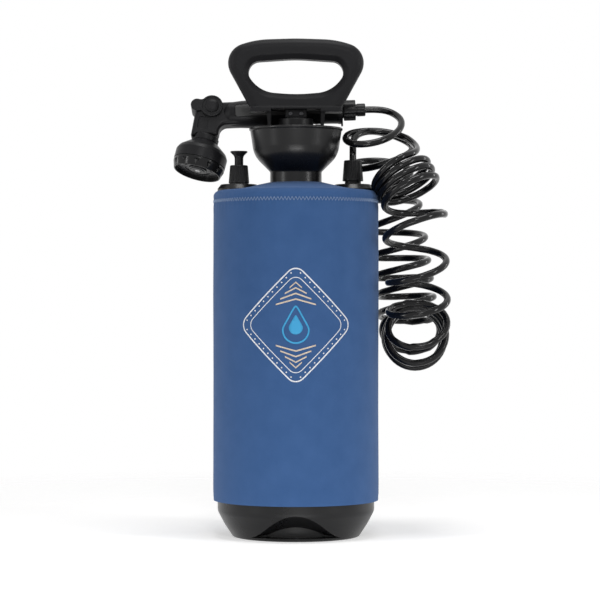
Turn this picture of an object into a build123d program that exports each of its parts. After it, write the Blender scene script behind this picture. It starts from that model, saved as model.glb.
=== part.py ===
from build123d import *
import math
import os

# Portable pressure shower: a pump tank in an insulating sleeve, with a curly hose and a shower handset.
# Millimetres, Z up, front towards -Y. The origin lies on the floor under the tank's axis.

# Fits and clearances
running = 0.05  # radial gap of a shaft in its bore
seat = 0.1  # gap between pieces that are screwed or pushed together
loose = 0.3  # gap beside a soft or loose piece

# Tank
tank_radius = 90.0
tank_wall = 3.0
foot_radius = 72.5
foot_ring_width = 16.0
foot_recess = 6.0  # hollow under the base, inside the foot ring
chamfer_height = 29.5
chamfer_top_round = 12.0
chamfer_bulge = 1.0  # how far the chamfer stands out of a straight line
chamfer_round = 2.85  # rounding of the bulge, as a multiple of the chamfer's width
foot_round = 3.0
foot_floor_step = 5.0  # how much wider the hollow inside is than the foot, before its wall
shoulder_z = 389.6
shoulder_round = 6.0
shoulder_mid_round = 40.0
shoulder_rise_mid = 3.5
shoulder_rise = 11.9
shoulder_mid_share = 0.37
neck_radius = 29.6
neck_bore = 24.0
neck_length = 16.5

# Funnel on top of the neck
bowl_wall = 2.6
bowl_slope = 18.6
bowl_radius = 52.6
bowl_side = 29.0
bowl_round = 30.0
bowl_floor_step = 0.8
rim_radius = 53.8
rim_height = 2.9
grip_rest_width = 9.0
grip_rest_depth = 10.0
grip_rest_inset = 2.2  # how far inside the rim's edge the middle of a rest lies

# Scoops under the front and back edges: control points (half width, height) of the arch at two depths
scoop_lip = 3.5
scoop_depth_radius = 60.0
scoop_inner_shape = [(50.0, 0.0), (34.0, 0.6), (14.0, 11.0)]
scoop_outer_shape = [(57.0, 0.0), (38.0, 14.0), (22.0, 40.0)]
scoop_inner_y = 50.0
scoop_outer_y = 95.0

# Platforms for the two fittings on the shoulder
fitting_x = 65.5
platform_radius = 25.0
platform_rise = 14.1
platform_bevel = 5.5
platform_depth = 8.0  # how far it reaches down into the shoulder
boss_radius = 8.0

# Insulating sleeve
sleeve_thickness = 4.6
sleeve_bottom_z = 41.5
sleeve_neck_gap = 1.2
sleeve_hole_gap = 0.8

# Pressure relief valve
relief_spigot_radius = 7.8
relief_spigot_height = 10.3
relief_bore = 4.0
relief_gasket_height = 1.3
relief_cap_bottom = 11.9
relief_cap_top = 10.2
relief_cap_height = 20.7
relief_cap_roof = 2.2
relief_chamber = 7.0
relief_stem = 5.0
relief_flare = 6.0
relief_collar = 6.4
relief_collar_height = 1.2
relief_seal_height = 1.4
relief_top_radius = 9.85
relief_top_z = 442.0
relief_wire = 0.45
relief_spring_turns = 3
cap_ribs = 24
cap_rib_depth = 0.5

# Hose gland
gland_neck_radius = 6.9
gland_neck_height = 3.8
gland_spigot_height = 8.5
gland_gasket_height = 1.5
gland_skirt = 2.4  # wall of the nut's narrow skirt
gland_bore = 3.0
gland_nut_bottom = 12.0
gland_nut_top = 10.2
gland_nut_height = 23.9
hose_radius = 4.0
tail_radius = 2.6
tail_bore = 1.6
tail_flange_height = 1.8
tail_barb = 0.7
tail_barb_length = 2.6
tail_barb_pitch = 3.4
mouth_depth = 2.5  # how far the hose sits inside the mouth of a nut

# Dip tube
dip_radius = 4.0
dip_bore = 2.8
dip_bottom_z = 22.0
dip_socket = 12.0
strainer_drop = 6.0  # how far it reaches below the tube
strainer_lip = 3.0
strainer_radius = 7.0
strainer_height = 14.0
strainer_wall = 1.4
strainer_slots = 6
strainer_slot_width = 1.6

# Pump
plug_length = 20.0
flange_radius = 26.5
flange_height = 3.6
head_seal_height = 1.4
collar_radius = 20.0
collar_wall = 4.0
head_top_z = 479.0
head_disc = 9.0
head_ribs = 6
head_rib_height = 9.0
head_rib_half = 2.0
barrel_radius = 20.0
barrel_wall = 2.0
barrel_bottom_z = 62.0
barrel_socket = 11.0
guide_radius = 9.0
guide_lip = 2.0
foot_height = 14.0
foot_plate = 4.0
foot_wall = 2.5
foot_spigot = 6.0
flap_stud = 1.6
flap_stud_head = 2.6
flap_stud_length = 5.0
flap_radius = 13.0
flap_height = 1.5
inlet_holes = 6
inlet_radius = 2.2
inlet_circle = 9.0

# Piston
rod_radius = 4.5
piston_height = 14.0
piston_floor_gap = 9.0
piston_radius = 17.4
cup_height = 6.0
cup_groove = 3.0
cup_depth = 3.0
cup_lip = 3.2  # height of the part that touches the barrel
thread_step = 1.2  # how much thinner the rod's threaded end is
nut_height = 5.0
nut_flats = 13.0

# Pump handle, seen from the front
handle_depth = 30.0
handle_base_half = 52.5
handle_base_z = 491.0
handle_crown_z = 571.2
handle_crown_round = 300.0
handle_shoulder = (46.8, handle_crown_z - 1.5)
handle_shoulder_round = 106.0
handle_corner = (88.1, handle_crown_z - 15.4)
handle_corner_round = 22.6
handle_edge_round = 10.0
opening_crown_z = 547.7
opening_top = (66.9, opening_crown_z - 4.5)
opening_top_round = 13.1
opening_floor_z = 506.2
opening_bottom = (40.4, opening_floor_z + 3.5)
opening_bottom_round = 36.0
opening_crown_round = 200.0
opening_bevel = 6.0
base_plate_height = 6.6
base_plate_depth = 33.0
hub_inner = 28.5
hub_wall = 4.5
hub_depth = 26.0
hub_bottom_z = 452.0
hub_taper = 2.5
hub_boss_half = 12.5
hub_boss_depth = 21.0
saddle_wall = 2.6
saddle_half = 24.0
screw_x = 6.2
screw_z = 484.2
screw_radius = 1.5
screw_head_radius = 2.4
screw_head_height = 1.5

# Handset: placed by the point where the axes of the grip and the neck cross
elbow = (-97.6, flange_radius + 17.5, 486.5)
grip_rise = 2.2  # degrees up to the right
grip_roll = 16.0  # degrees, turns the head towards the front
grip_start = 14.0
grip_shape = [(20.0, 14.4), (42.0, 16.3), (92.0, 15.6), (147.0, 15.2)]  # (along, radius)
grip_start_radius = 10.4
grip_flange = 15.6
grip_flange_length = 5.0
water_bore = 4.5
pad_start = 27.0
pad_end = 138.0
pad_half_height = 7.6
pad_depth = 1.6
pad_gap = 0.25
web_half = 10.0
web_edge_round = 4.0
pivot_height = 7.5
pivot_boss = 12.6
neck_lean = 16.0
neck_panel_depth = 1.2
spigot_radius = 9.3
spigot_bore = 6.0
spigot_end = 43.0

# Handset web outline (along, up): the neck's left edge, its foot and the inside corner under the grip
web_top = 13.4
web_left_top = (-19.4, 5.0)
web_left_foot = (-26.0, -27.0)
web_right_foot = (6.4, -27.0)
web_inside_corner = (9.0, -14.3)
web_inside_round = 9.7
web_end = 60.0
neck_panel = (-14.0, -2.5, -21.0, -6.5)  # left, right, bottom, top

# Hose end of the handset
hose_nut_start = 153.3
hose_nut_length = 14.0
hose_nut_radius = 12.0
hose_nut_mouth = 9.2
collar_start = 169.2
collar_end = 178.8
collar_outer = 7.5
washer_height = 1.4

# Shower head, along the neck's axis from the elbow
collar_nut_start = 27.6
collar_nut_end = 35.0
collar_nut_radius = 15.0
shell_start = 35.3
shell_top_radius = 15.5
shell_shoulder = (28.0, 45.5)
shell_radius = 30.4
shell_full = 50.0
shell_end = 61.6
shell_wall = 2.2
gasket_height = 1.6
dial_end = 73.0
dial_top_radius = 30.2
dial_end_radius = 27.6
dial_inner = 26.0
dial_notches = 12
dial_notch_radius = 3.2
dial_lip = 6.0
face_start = 65.5
face_height = 2.6
insert_radius = 8.5
insert_height = 2.2
face_screw_radius = 2.6
nozzle_radius = 0.8
nozzle_circles = [13.5, 18.0, 22.3]
nozzle_counts = [12, 16, 20]

# Thumb lever, measured from its pivot
lever_disc = 12.85
lever_cheek = 3.0
lever_lobe = (-17.3, 2.2)  # middle of the rounded thumb pad
lever_lobe_radius = 7.2
lever_valley = (-11.5, 8.3)  # dip between the disc and the pad
lever_valley_round = 5.0
lever_travel = 70.0  # degrees
lever_groove = 0.7
lever_groove_angles = (105.0, 130.0, 155.0, 180.0)
lever_cap_radius = 7.8
lever_cap_height = 2.2
spindle_radius = 6.0
spindle_groove = 1.1
spindle_seal_width = 2.0
spindle_seal_y = 5.0

# Curly hose: the coil is one hollow tube of its outer size, and the leads are single runs of hose
coil_radius = 37.0
coil_wall = 1.0
coil_turn_radius = 49.5  # where the coil hangs in a loop and turns back up
coil_turn_z = 225.0
coil_route = [
    (110, -28, 442),
    (125, -49, 404),
    (134, -36, 352),
    (138, -20, 305),
    (139, -14, coil_turn_z),
    (138, 86, coil_turn_z),
    (131, 88, 305),
    (122, 86, 350),
    (110, 82, 397),
]
handset_lead_route = [
    (97, 44, 494),
    (112, 38, 489),
    (122, 22, 478),
    (120, 1, 466),
    (106, -17, 456),
    (86, -24, 450),
    (66, -18, 450),
    (56, 0, 455),
    (58, 20, 461),
    (72, 36, 466),
    (92, 40, 469),
    (112, 32, 468),
    (126, 16, 460),
]
handset_lead_end = (132, -3, 439)
outlet_lead_route = [
    (65.5, 0, 443),
    (68, 12, 452),
    (73, 32, 452),
    (84, 58, 457),
    (98, 80, 461),
    (118, 86, 458),
    (131, 70, 450),
    (126, 50, 441),
    (108, 42, 434),
    (88, 46, 428),
    (77, 62, 420),
    (76.5, 76, 408),
]
outlet_lead_end = (78.2, 84.1, 389.4)

nodes = {}

# Frames of the handset and of its head
handset_place = Pos(*elbow) * Rot(0, -grip_rise, 0) * Rot(-grip_roll, 0, 0)
head_place = handset_place * Rot(0, 180 + neck_lean, 0)


def turned(*corners):
    """Solid of revolution about Z. A corner is (radius, height) or (radius, height, rounding)."""
    points = [(corner[0], corner[1]) for corner in corners]
    rounds = [corner[2] if len(corner) > 2 else 0 for corner in corners]
    outline = FilletPolyline(*points, radius=rounds, close=True)
    return revolve(Plane.XZ * make_face(outline), Axis.Z)


def ring(outer, inner, bottom, top):
    """Plain ring or tube about Z."""
    return turned((inner, bottom), (outer, bottom), (outer, top), (inner, top))


def disc(radius, bottom, top):
    """Plain disc or rod about Z."""
    return Pos(0, 0, bottom) * Cylinder(radius, top - bottom, align=(Align.CENTER, Align.CENTER, Align.MIN))


def block(low, high):
    """Box between two corners."""
    size = [high[i] - low[i] for i in range(3)]
    middle = [(high[i] + low[i]) / 2 for i in range(3)]
    return Pos(*middle) * Box(*size)


def ribbed_cone(bottom_radius, top_radius, bottom, top):
    """Cap body with upright finger ribs, made by cutting shallow flutes out of a cone."""
    body = turned((0, bottom), (bottom_radius, bottom, 0.6), (top_radius, top, 1.2), (0, top))
    lean = math.degrees(math.atan2(bottom_radius - top_radius, top - bottom))
    middle = (bottom_radius + top_radius) / 2
    flute_radius = math.pi * middle / cap_ribs * 0.55
    reach = flute_radius - cap_rib_depth
    flute = Pos(middle + reach, 0, (bottom + top) / 2) * Rot(0, -lean, 0) * Cylinder(flute_radius, 2 * (top - bottom))
    flute = flute & disc(bottom_radius * 2, bottom + 2.0, top - 1.6)
    return body - PolarLocations(0, cap_ribs) * flute


# Heights that the tank's sizes give
neck_foot_z = shoulder_z + shoulder_rise
bowl_z = neck_foot_z + neck_length
bowl_floor_z = bowl_z + bowl_wall * math.sqrt(2) + bowl_floor_step
bowl_elbow_z = bowl_z + bowl_slope
bowl_top_z = bowl_elbow_z + bowl_side
rim_z = bowl_top_z + rim_height
platform_z = shoulder_z + platform_rise
shoulder_mid_radius = tank_radius - shoulder_mid_share * (tank_radius - neck_radius)


def body_corners(inset):
    """Corners of the tank below its neck, moved inwards by an inset."""
    side = tank_radius - inset
    bulge_radius = (foot_radius + tank_radius) / 2 + chamfer_bulge
    bulge_z = chamfer_height / 2 + inset * 0.3
    floor_z = foot_recess + inset if inset else 0
    foot = foot_radius + (foot_floor_step if inset else 0) - inset
    return [
        (foot, floor_z, foot_round),
        (bulge_radius - inset, bulge_z, chamfer_round * (tank_radius - foot_radius)),
        (side, chamfer_height + inset * 0.5, chamfer_top_round),
        (side, shoulder_z - inset, shoulder_round - inset / 2),
        (shoulder_mid_radius, shoulder_z + shoulder_rise_mid - inset, shoulder_mid_round),
        (neck_radius - inset, neck_foot_z - inset),
    ]


def scoop(grow):
    """Cutter of one scoop under the front edge. Grown, it leaves the wall round the scoop."""
    sections = []
    for shape, distance in ((scoop_inner_shape, scoop_inner_y), (scoop_outer_shape, scoop_outer_y)):
        right = [(x + grow, scoop_lip - grow + z + (2 * grow if z else 0)) for x, z in shape]
        left = [(-x, z) for x, z in reversed(right)]
        arch = Bezier(*right, *left)
        base = Line(arch @ 1, arch @ 0)
        plane = Plane(origin=(0, -distance, 0), x_dir=(1, 0, 0), z_dir=(0, -1, 0))
        sections.append(plane * make_face([arch, base]))
    return loft(sections) - disc(scoop_depth_radius - grow, -shoulder_z, shoulder_z)


def make_tank():
    """Blow-moulded tank with its scooped base, its neck and the funnel on top."""
    base = turned(
        (0, foot_recess),
        (foot_radius - foot_ring_width - foot_recess, foot_recess, 3),
        (foot_radius - foot_ring_width, 0, 1),
        *body_corners(0),
        (0, neck_foot_z),
    )
    inside = turned((0, foot_recess + tank_wall), *body_corners(tank_wall), (0, neck_foot_z - tank_wall))
    funnel = turned(
        (0, neck_foot_z - tank_wall),
        (neck_radius, neck_foot_z - tank_wall),
        (neck_radius, bowl_z, 3),
        (neck_radius + bowl_slope, bowl_elbow_z, bowl_round),
        (bowl_radius, bowl_top_z, 1),
        (rim_radius, bowl_top_z, 1),
        (rim_radius, rim_z, 1.2),
        (0, rim_z),
    )
    slope_shift = bowl_wall * (math.sqrt(2) - 1)
    funnel_inside = turned(
        (0, bowl_floor_z),
        (neck_radius + bowl_floor_z - bowl_z - bowl_wall * math.sqrt(2), bowl_floor_z),
        (neck_radius + bowl_slope - bowl_wall + slope_shift, bowl_elbow_z + bowl_wall, bowl_round - bowl_wall),
        (bowl_radius - bowl_wall, bowl_top_z),
        (bowl_radius - bowl_wall, rim_z),
        (0, rim_z),
    )
    scoops = scoop(0) + Rot(0, 0, 180) * scoop(0)
    walls = scoop(tank_wall) + Rot(0, 0, 180) * scoop(tank_wall)
    shell = base - (inside - walls) - scoops + funnel
    shell -= funnel_inside
    shell -= disc(neck_bore, shoulder_z - 20, rim_z)
    limit = disc(tank_radius, 0, rim_z)
    for side in (-1, 1):
        spigot_radius_here = relief_spigot_radius if side < 0 else gland_neck_radius
        spigot_height = relief_spigot_height if side < 0 else gland_spigot_height
        bore = relief_bore if side < 0 else gland_bore
        outer = turned(
            (0, shoulder_z - platform_depth),
            (platform_radius, shoulder_z - platform_depth),
            (platform_radius, platform_z - platform_bevel, 1.5),
            (platform_radius - platform_bevel * 0.8, platform_z, 1.5),
            (0, platform_z),
        )
        hollow = turned(
            (boss_radius, shoulder_z - 12),
            (platform_radius - tank_wall, shoulder_z - 12),
            (platform_radius - tank_wall, platform_z - platform_bevel - tank_wall / 2),
            (platform_radius - platform_bevel - tank_wall, platform_z - tank_wall),
            (boss_radius, platform_z - tank_wall),
        )
        place = Pos(side * fitting_x, 0, 0)
        shell += place * outer & limit
        shell -= place * hollow & disc(tank_radius - tank_wall, 0, rim_z)
        shell += place * disc(boss_radius, shoulder_z - platform_depth, platform_z)
        shell += place * disc(spigot_radius_here, platform_z - 1, platform_z + spigot_height)
        shell -= place * disc(bore, shoulder_z - 20, platform_z + 50)
    socket = disc(dip_radius + seat, shoulder_z - 20, shoulder_z - platform_depth + dip_socket)
    shell -= Pos(fitting_x, 0, 0) * socket
    return shell + make_grip_rests()


def grip_point(along):
    """Place of the grip's axis above the floor, at a distance along it from the elbow."""
    rise = math.radians(grip_rise)
    return (elbow[0] + along * math.cos(rise), elbow[1], elbow[2] + along * math.sin(rise))


def grip_radius_at(along):
    """Radius of the grip between two of its stated sizes."""
    stations = grip_shape
    for (a, ra), (b, rb) in zip(stations, stations[1:]):
        if a <= along <= b:
            return ra + (rb - ra) * (along - a) / (b - a)
    return stations[-1][1]


def make_grip_rests():
    """Two low rests on the back of the rim, which the grip of the handset lies on."""
    rests = []
    across = math.sqrt((rim_radius - grip_rest_inset) ** 2 - elbow[1] ** 2)
    for side in (-1, 1):
        along = side * across - elbow[0]
        centre = grip_point(along)
        top = centre[2] - grip_radius_at(along) - seat
        low = (side * across - grip_rest_width / 2, elbow[1] - grip_rest_depth / 2, rim_z - 1.5)
        high = (side * across + grip_rest_width / 2, elbow[1] + grip_rest_depth / 2, top)
        post = block(low, high)
        rests.append(fillet(post.edges().filter_by(Axis.Z), 2.0))
    return rests[0] + rests[1] - handset_place * grip_form(-loose)


def make_sleeve():
    """Neoprene sleeve that follows the tank from the base to the neck, open round the two fittings."""
    outline = FilletPolyline(
        *[(c[0], c[1]) for c in [(0, 0), *body_corners(0), (0, neck_foot_z)]],
        radius=[0] + [c[2] if len(c) > 2 else 0 for c in body_corners(0)] + [0],
        close=True,
    )
    section = make_face(outline)
    outer = offset(section, loose + sleeve_thickness)
    inner = offset(section, loose)
    band = outer - inner
    low = (neck_radius + sleeve_neck_gap, sleeve_bottom_z)
    high = (tank_radius + 4 * sleeve_thickness, rim_z)
    window = Pos((low[0] + high[0]) / 2, (low[1] + high[1]) / 2) * Rectangle(high[0] - low[0], high[1] - low[1])
    sleeve = revolve(Plane.XZ * (band & window), Axis.Z)
    for side in (-1, 1):
        sleeve -= Pos(side * fitting_x, 0, 0) * disc(platform_radius + sleeve_hole_gap, shoulder_z - 3, rim_z)
    return sleeve


def make_relief_valve():
    """Pressure relief valve on the left platform: gasket, cap, spring, plunger and seal."""
    place = Pos(-fitting_x, 0, 0)
    cap_z = platform_z + relief_gasket_height
    cap_top_z = cap_z + relief_cap_height
    spigot_top = platform_z + relief_spigot_height
    seal_z = spigot_top + seat
    collar_z = seal_z + relief_seal_height
    spring_low = collar_z + relief_collar_height
    spring_high = cap_top_z - relief_cap_roof
    nodes["relief_gasket"] = place * ring(relief_cap_bottom - 1, relief_spigot_radius + seat, platform_z, cap_z)
    cap = ribbed_cone(relief_cap_bottom, relief_cap_top, cap_z, cap_top_z)
    cap -= disc(relief_spigot_radius + seat, cap_z, spigot_top + seat)
    cap -= disc(relief_chamber, spigot_top, spring_high)
    cap -= disc(relief_stem + running, spring_high - 1, cap_top_z)
    nodes["relief_cap"] = place * cap
    length = spring_high - spring_low - 2 * relief_wire - 2 * seat
    pitch = length / relief_spring_turns
    coil_mid = (relief_stem + relief_chamber) / 2
    path = Helix(pitch, length, coil_mid)
    start = Plane(origin=path @ 0, z_dir=path % 0)
    spring = sweep(start * Circle(relief_wire), path=path)
    nodes["relief_spring"] = place * Pos(0, 0, spring_low + relief_wire + seat) * spring
    flare_z = relief_top_z - relief_flare
    plunger = turned(
        (0, collar_z),
        (relief_collar, collar_z),
        (relief_collar, spring_low),
        (relief_stem, spring_low),
        (relief_stem, flare_z, 6),
        (relief_top_radius, relief_top_z - 1.4),
        (relief_top_radius, relief_top_z, 0.6),
        (relief_top_radius - 2.5, relief_top_z),
        (relief_stem, relief_top_z - 1.0, 4),
        (0, relief_top_z - 1.2),
    )
    nodes["relief_plunger"] = place * plunger
    nodes["relief_seal"] = place * disc(relief_collar, seal_z, collar_z)


def make_outlet():
    """Hose gland on the right platform, with the dip tube that feeds it."""
    place = Pos(fitting_x, 0, 0)
    nut_z = platform_z + gland_neck_height
    nut_top = nut_z + gland_nut_height
    spigot_top = platform_z + gland_spigot_height
    flange_top = spigot_top + seat + tail_flange_height
    gasket_top = platform_z + gland_gasket_height
    nodes["outlet_gasket"] = place * ring(gland_neck_radius + gland_skirt, gland_neck_radius + seat, platform_z, gasket_top)
    nut = ribbed_cone(gland_nut_bottom, gland_nut_top, nut_z, nut_top)
    nut -= disc(gland_neck_radius + seat, nut_z, flange_top + seat)
    nut -= disc(hose_radius + 2 * seat, flange_top, nut_top)
    skirt = ring(gland_neck_radius + gland_skirt, gland_neck_radius + seat, gasket_top + seat, nut_z)
    nodes["outlet_cap_nut"] = place * (nut + skirt)
    hose_end = nut_top - mouth_depth
    tail = ring(gland_neck_radius, tail_bore, spigot_top + seat, flange_top)
    tail += ring(tail_radius, tail_bore, flange_top, hose_end - seat)
    barb = turned(
        (tail_bore, 0), (tail_radius + tail_barb, 0), (tail_radius, tail_barb_length), (tail_bore, tail_barb_length)
    )
    for step in range(3):
        tail += Pos(0, 0, flange_top + tail_barb_pitch * (step + 0.9)) * barb
    nodes["outlet_tail"] = place * tail
    socket_top = shoulder_z - platform_depth + dip_socket - seat
    nodes["dip_tube"] = place * ring(dip_radius, dip_bore, dip_bottom_z, socket_top)
    cup_z = dip_bottom_z - strainer_drop
    cup = ring(strainer_radius, strainer_radius - strainer_wall, cup_z, cup_z + strainer_height)
    cup += disc(strainer_radius, cup_z, cup_z + strainer_wall)
    lip_z = cup_z + strainer_height - strainer_lip
    cup += ring(strainer_radius, dip_radius + seat / 2, lip_z, cup_z + strainer_height)
    slot = block(
        (0, -strainer_slot_width / 2, cup_z + strainer_wall),
        (strainer_radius + 1, strainer_slot_width / 2, lip_z - 2),
    )
    cup -= PolarLocations(0, strainer_slots) * slot
    nodes["dip_strainer"] = place * cup


def make_pump():
    """Pump that screws into the neck: head with its seal and guide, barrel, foot and check flap."""
    flange_z = bowl_floor_z + head_seal_height
    plug_z = bowl_floor_z - plug_length
    disc_z = head_top_z - head_disc
    head = turned(
        (0, plug_z),
        (neck_bore - 2 * seat, plug_z, 1),
        (neck_bore - 2 * seat, flange_z),
        (flange_radius, flange_z),
        (flange_radius, flange_z + flange_height, 1),
        (collar_radius, flange_z + flange_height + 2.5, 3),
        (collar_radius, head_top_z, 1),
        (0, head_top_z),
    )
    barrel_top = plug_z + barrel_socket
    head -= disc(barrel_radius + seat, plug_z, barrel_top)
    head -= disc(collar_radius - collar_wall, barrel_top - 1, disc_z)
    head -= disc(guide_radius + seat, disc_z - 1, head_top_z)
    head -= disc(guide_radius + guide_lip + seat, head_top_z - guide_lip, head_top_z)
    rib = block(
        (collar_radius - 1, -head_rib_half, flange_z + flange_height - 0.5),
        (flange_radius - 1.5, head_rib_half, flange_z + flange_height + head_rib_height),
    )
    head += PolarLocations(0, head_ribs, start_angle=30) * rib
    nodes["pump_head"] = head
    nodes["pump_head_seal"] = ring(flange_radius - 0.2, neck_bore + 0.2, bowl_floor_z, flange_z)
    guide = disc(guide_radius, disc_z, head_top_z - guide_lip) + disc(
        guide_radius + guide_lip, head_top_z - guide_lip, head_top_z - 0.4
    )
    nodes["rod_guide"] = guide - disc(rod_radius + running, disc_z, head_top_z)
    barrel_inner = barrel_radius - barrel_wall
    nodes["pump_barrel"] = ring(barrel_radius, barrel_inner, barrel_bottom_z, barrel_top - seat)
    foot_z = barrel_bottom_z - foot_plate
    foot = disc(barrel_radius, foot_z, barrel_bottom_z)
    foot += ring(barrel_radius, barrel_radius - foot_wall, foot_z - foot_height + foot_plate, foot_z)
    foot += ring(barrel_inner - seat, barrel_inner - foot_wall, barrel_bottom_z, barrel_bottom_z + foot_spigot)
    hole = Pos(inlet_circle, 0, 0) * disc(inlet_radius, foot_z - 1, barrel_bottom_z + 1)
    foot -= PolarLocations(0, inlet_holes) * hole
    stud_z = foot_z - flap_stud_length
    stud = disc(flap_stud, stud_z, foot_z) + disc(flap_stud_head, stud_z, stud_z + 1.4)
    nodes["barrel_foot"] = foot + stud
    nodes["check_flap"] = ring(flap_radius, flap_stud + seat, foot_z - flap_height - seat, foot_z - seat)


def make_piston():
    """Rod, piston, cup seal and nut, which stroke inside the barrel with the handle."""
    barrel_inner = barrel_radius - barrel_wall
    nut_z = barrel_bottom_z + piston_floor_gap - nut_height
    piston_z = nut_z + nut_height
    piston_top = piston_z + piston_height
    thread = rod_radius - thread_step
    shank = disc(rod_radius, piston_top, handle_base_z - base_plate_height + 2.0)
    nodes["piston_rod"] = shank + disc(thread, nut_z, piston_top)
    cup_z = piston_z + cup_groove
    piston = turned(
        (thread + seat / 2, piston_z),
        (piston_radius, piston_z),
        (piston_radius, cup_z),
        (piston_radius - cup_depth, cup_z),
        (piston_radius - cup_depth, cup_z + cup_height),
        (piston_radius, cup_z + cup_height),
        (piston_radius, piston_top, 1),
        (thread + seat / 2, piston_top),
    )
    nodes["piston_head"] = piston
    nodes["piston_cup"] = turned(
        (piston_radius - cup_depth + seat / 2, cup_z + seat),
        (barrel_inner - running, cup_z + seat, 0.5),
        (barrel_inner - running, cup_z + cup_lip),
        (piston_radius - cup_depth / 3, cup_z + cup_height - seat),
        (piston_radius - cup_depth + seat / 2, cup_z + cup_height - seat),
    )
    nut = extrude(Pos(0, 0, nut_z) * RegularPolygon(nut_flats / 2, 6, major_radius=False), nut_height - seat)
    nodes["piston_nut"] = nut - disc(thread + seat / 2, nut_z, piston_z)


def front_face(corners):
    """Face seen from the front, from (x, height, rounding) corners of its right half, top to bottom."""
    right = [corner for corner in corners if corner[0] > 0]
    left = [(-x, z, r) for x, z, r in reversed(right)]
    top = [corner for corner in corners[:1] if corner[0] == 0]
    bottom = [corner for corner in corners[1:] if corner[0] == 0]
    outline = top + right + bottom + left
    line = FilletPolyline(*[(x, z) for x, z, r in outline], radius=[r for x, z, r in outline], close=True)
    return Plane.XZ * make_face(line)


def handle_opening(grow):
    """Face of the hand opening, made larger all round by a margin."""
    crown = (0, opening_crown_z + grow, opening_crown_round)
    top = (opening_top[0] + grow, opening_top[1] + grow, opening_top_round + grow)
    bottom = (opening_bottom[0] + grow, opening_bottom[1] - grow, opening_bottom_round + grow / 2)
    floor = (0, opening_floor_z - grow, opening_crown_round)
    return front_face([crown, top, bottom, floor])


def make_handle():
    """D-shaped pump handle, with its base, its hub walls, the saddle over the grip and its two screws."""
    outer_face = front_face(
        [
            (0, handle_crown_z, handle_crown_round),
            (*handle_shoulder, handle_shoulder_round),
            (*handle_corner, handle_corner_round),
            (handle_base_half, handle_base_z, 0),
        ]
    )
    grip = extrude(Pos(0, handle_depth / 2, 0) * outer_face, handle_depth)
    ends = grip.faces().filter_by(Axis.Y).edges()
    grip = fillet([edge for edge in ends if edge.center().Z > handle_base_z + 1], handle_edge_round)
    grip -= extrude(Pos(0, handle_depth, 0) * handle_opening(0), 2 * handle_depth)
    for side in (-1, 1):
        narrow = Pos(0, side * (handle_depth / 2 - opening_bevel - 1), 0) * handle_opening(-1)
        wide = Pos(0, side * (handle_depth / 2 + 1), 0) * handle_opening(opening_bevel + 1)
        grip -= loft([narrow, wide])
    plate_z = handle_base_z - base_plate_height + 2.0
    half = handle_base_half + 0.5
    plate = block((-half, -base_plate_depth / 2, plate_z), (half, base_plate_depth / 2, handle_base_z + 1.6))
    plate = fillet(plate.edges().filter_by(Axis.Z), 4)
    plate = chamfer(plate.faces().sort_by(Axis.Z)[-1].edges(), 1.2)
    handle = grip + plate
    handle -= block((-hub_inner, -base_plate_depth, plate_z - 1), (hub_inner, base_plate_depth, handle_base_z - 1.5))
    for side in (-1, 1):
        wall = Plane.XZ * make_face(
            Polyline(
                (side * hub_inner, handle_base_z),
                (side * (hub_inner + hub_wall + 1), handle_base_z),
                (side * (hub_inner + hub_wall - hub_taper), hub_bottom_z),
                (side * (hub_inner - hub_taper), hub_bottom_z),
                (side * hub_inner, hub_bottom_z + 20),
                close=True,
            )
        )
        handle += extrude(wall, hub_depth / 2, both=True)
    boss_low = head_top_z + 1.0
    boss = block(
        (-hub_boss_half, -hub_boss_depth / 2, boss_low), (hub_boss_half, hub_boss_depth / 2, handle_base_z)
    )
    handle += fillet(boss.edges().filter_by(Axis.Z), 3)
    handle -= disc(rod_radius + seat / 2, boss_low - 1, plate_z + seat)
    handle += make_saddle()
    head_y = -hub_boss_depth / 2
    screw = Cylinder(screw_radius, hub_boss_depth * 0.75, align=(Align.CENTER, Align.CENTER, Align.MAX))
    dome = Cylinder(screw_head_radius, screw_head_height, align=(Align.CENTER, Align.CENTER, Align.MIN))
    dome = fillet(dome.edges().sort_by(Axis.Z)[-1], 0.9)
    socket = Pos(0, 0, screw_head_height - 0.7) * Box(0.8, 2.6, 2) + Pos(0, 0, screw_head_height - 0.7) * Box(2.6, 0.8, 2)
    turn = Rot(90, 0, 0)
    screws = []
    for side in (-1, 1):
        place = Pos(side * screw_x, head_y - seat, screw_z) * turn
        hole = Cylinder(screw_radius + seat / 2, hub_boss_depth * 0.8, align=(Align.CENTER, Align.CENTER, Align.MAX))
        handle -= place * hole
        screws.append(place * (screw + dome - socket))
    nodes["handle_screws"] = Compound(children=screws)
    nodes["pump_handle"] = handle


def make_saddle():
    """Saddle on the back of the handle that reaches over the top of the parked grip."""
    along = -elbow[0]
    centre = grip_point(along)
    inner = max(radius for position, radius in grip_shape) + loose
    outer = inner + saddle_wall
    reach = saddle_half
    band = ring(outer, inner, -reach, reach)
    keep = block((-outer - 1, 0, -reach), (loose, outer + 1, reach))
    band = band & keep
    band = Pos(0, centre[1], centre[2] + loose) * Plane.YZ.location * band
    arm = block((-reach, 0, centre[2] + inner * 0.4), (reach, centre[1] - inner + loose, centre[2] + inner * 0.85))
    grip_space = Pos(0, centre[1], centre[2] + loose) * Plane.YZ.location * disc(inner, -2 * reach, 2 * reach)
    return band + (arm - grip_space)


def grip_form(inset):
    """The grip's round form along local X, moved inwards by an inset."""
    first = (grip_start, grip_start_radius - inset)
    stations = [(along, radius - inset) for along, radius in grip_shape]
    curve = Spline(*stations)
    outline = [
        Line((grip_start, 0), first),
        Line(first, stations[0]),
        curve,
        Line(stations[-1], (stations[-1][0], 0)),
        Line((stations[-1][0], 0), (grip_start, 0)),
    ]
    return revolve(make_face(outline), Axis.X)


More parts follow.
